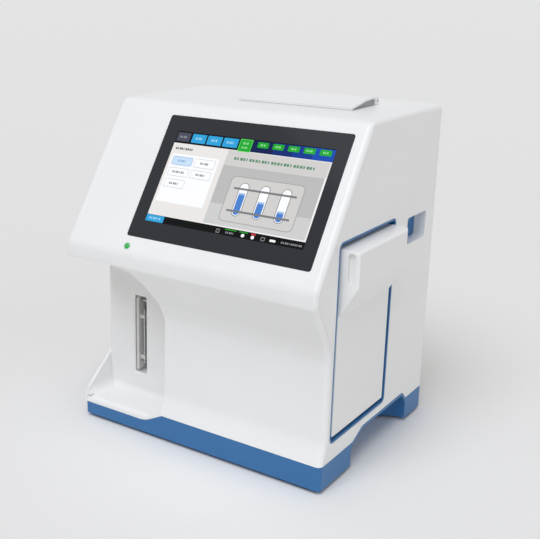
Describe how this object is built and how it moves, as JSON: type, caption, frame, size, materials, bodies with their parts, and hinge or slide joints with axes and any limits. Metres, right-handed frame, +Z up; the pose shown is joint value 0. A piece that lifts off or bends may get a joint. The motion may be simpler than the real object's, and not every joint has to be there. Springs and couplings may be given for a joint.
{
  "type": "electrolyte analyzer",
  "caption": "Bench-top electrolyte analyzer with a sloping touch screen, a sampling niche, a pull-out side reagent pack and a printer under a lid.",
  "frame": {"origin": "middle of the footprint of the whole unit, on the surface its feet stand on", "axes": "+X to the user's right, -Y to the front, +Z up"},
  "size_m": [0.306, 0.2612, 0.3482],
  "materials": {
    "white_abs": "satin-gloss moulded white ABS",
    "blue_abs": "satin-gloss moulded blue ABS",
    "grey_abs": "fine-grained moulded grey ABS",
    "black_plastic": "matte black moulding",
    "screen_glass": "dark cover glass, printed on the back",
    "green_lens": "green translucent light pipe",
    "rubber": "matte black rubber",
    "steel": "bright drawn steel",
    "sheet_steel": "zinc-plated sheet steel",
    "paper": "plain thermal paper",
    "clear_acrylic": "polished clear acrylic",
    "circuit_board": "green solder-masked board",
    "silicone": "milky silicone",
    "bag_film": "laminated film bag, filled"
  },
  "bodies": {
    "housing": {"base_tray": "blue_abs", "bay_liner": "blue_abs", "calcium_electrode": "clear_acrylic", "chassis": "sheet_steel", "chloride_electrode": "clear_acrylic", "display_module": "sheet_steel", "electrode_holder": "clear_acrylic", "fan_frame": "black_plastic", "foot_front_left": "rubber", "foot_front_right": "rubber", "foot_rear_left": "rubber", "foot_rear_right": "rubber", "front_cover": "white_abs", "lan_port": "sheet_steel", "lever_pin": "steel", "lid_hinge_pin": "steel", "main_board": "circuit_board", "main_cover": "white_abs", "ph_electrode": "clear_acrylic", "port_block": "clear_acrylic", "potassium_electrode": "clear_acrylic", "power_inlet": "black_plastic", "power_supply": "sheet_steel", "printer_bucket": "grey_abs", "probe_channel": "grey_abs", "pump_cover": "clear_acrylic", "pump_head": "grey_abs", "pump_motor": "sheet_steel", "pump_tube": "silicone", "rear_panel": "white_abs", "reference_electrode": "clear_acrylic", "rocker_frame": "black_plastic", "screen_glass": "screen_glass", "sodium_electrode": "clear_acrylic", "status_led": "green_lens", "thermal_head": "circuit_board", "usb_port": "sheet_steel", "valve_1": "steel", "valve_2": "steel", "valve_block": "clear_acrylic"},
    "lever": {"sampling_lever": "grey_abs", "sample_needle": "steel"},
    "pack": {"reagent_pack": "white_abs", "pack_back_plate": "white_abs", "septa_strip": "rubber", "calibrant_a_bag": "bag_film", "calibrant_b_bag": "bag_film", "waste_bag": "bag_film"},
    "lid": {"printer_lid": "white_abs", "lid_core": "grey_abs"},
    "rocker": {"power_rocker": "black_plastic"},
    "fan": {"fan_rotor": "black_plastic"},
    "pump": {"pump_rotor": "white_abs"},
    "roller_1": {"pump_roller_1": "silicone"},
    "roller_2": {"pump_roller_2": "silicone"},
    "roller_3": {"pump_roller_3": "silicone"},
    "platen": {"platen_roller": "rubber"},
    "roll": {"paper_roll": "paper", "paper_spindle": "grey_abs"}
  },
  "joints": [
    {"name": "lever_hinge", "type": "hinge", "parent": "housing", "child": "lever", "pos_m": [-0.1143, -0.06015, 0.12851], "axis": [-1, 0, 0], "range_deg": [0, 60]},
    {"name": "pack_slide", "type": "slide", "parent": "housing", "child": "pack", "axis": [1, 0, 0], "range_m": [0, 0.11]},
    {"name": "lid_hinge", "type": "hinge", "parent": "housing", "child": "lid", "pos_m": [-0.009, 0.07195, 0.3437], "axis": [-1, 0, 0], "range_deg": [0, 100]},
    {"name": "rocker_hinge", "type": "hinge", "parent": "housing", "child": "rocker", "pos_m": [0.041, 0.12555, 0.074], "axis": [-1, 0, 0], "range_deg": [0, 14]},
    {"name": "fan_spin", "type": "hinge", "parent": "housing", "child": "fan", "pos_m": [-0.079, 0.11135, 0.239], "axis": [0, 1, 0], "continuous": true},
    {"name": "pump_spin", "type": "hinge", "parent": "housing", "child": "pump", "pos_m": [-0.086, 0.0349, 0.08], "axis": [0, 1, 0], "continuous": true},
    {"name": "roller_1_spin", "type": "hinge", "parent": "pump", "child": "roller_1", "pos_m": [-0.086, 0.0349, 0.0908], "axis": [0, 1, 0], "continuous": true},
    {"name": "roller_2_spin", "type": "hinge", "parent": "pump", "child": "roller_2", "pos_m": [-0.09535, 0.0349, 0.0746], "axis": [0, 1, 0], "continuous": true},
    {"name": "roller_3_spin", "type": "hinge", "parent": "pump", "child": "roller_3", "pos_m": [-0.07665, 0.0349, 0.0746], "axis": [0, 1, 0], "continuous": true},
    {"name": "roll_spin", "type": "hinge", "parent": "housing", "child": "roll", "pos_m": [0.0225, 0.04485, 0.3175], "axis": [1, 0, 0], "continuous": true},
    {"name": "platen_spin", "type": "hinge", "parent": "housing", "child": "platen", "pos_m": [0.0225, 0.02715, 0.3355], "axis": [1, 0, 0], "continuous": true}
  ],
  "couplings": [
    {"joint": "roller_1_spin", "follows": "pump_spin", "ratio": -3.8421},
    {"joint": "roller_2_spin", "follows": "pump_spin", "ratio": -3.8421},
    {"joint": "roller_3_spin", "follows": "pump_spin", "ratio": -3.8421},
    {"joint": "platen_spin", "follows": "roll_spin", "ratio": 4.2857}
  ]
}
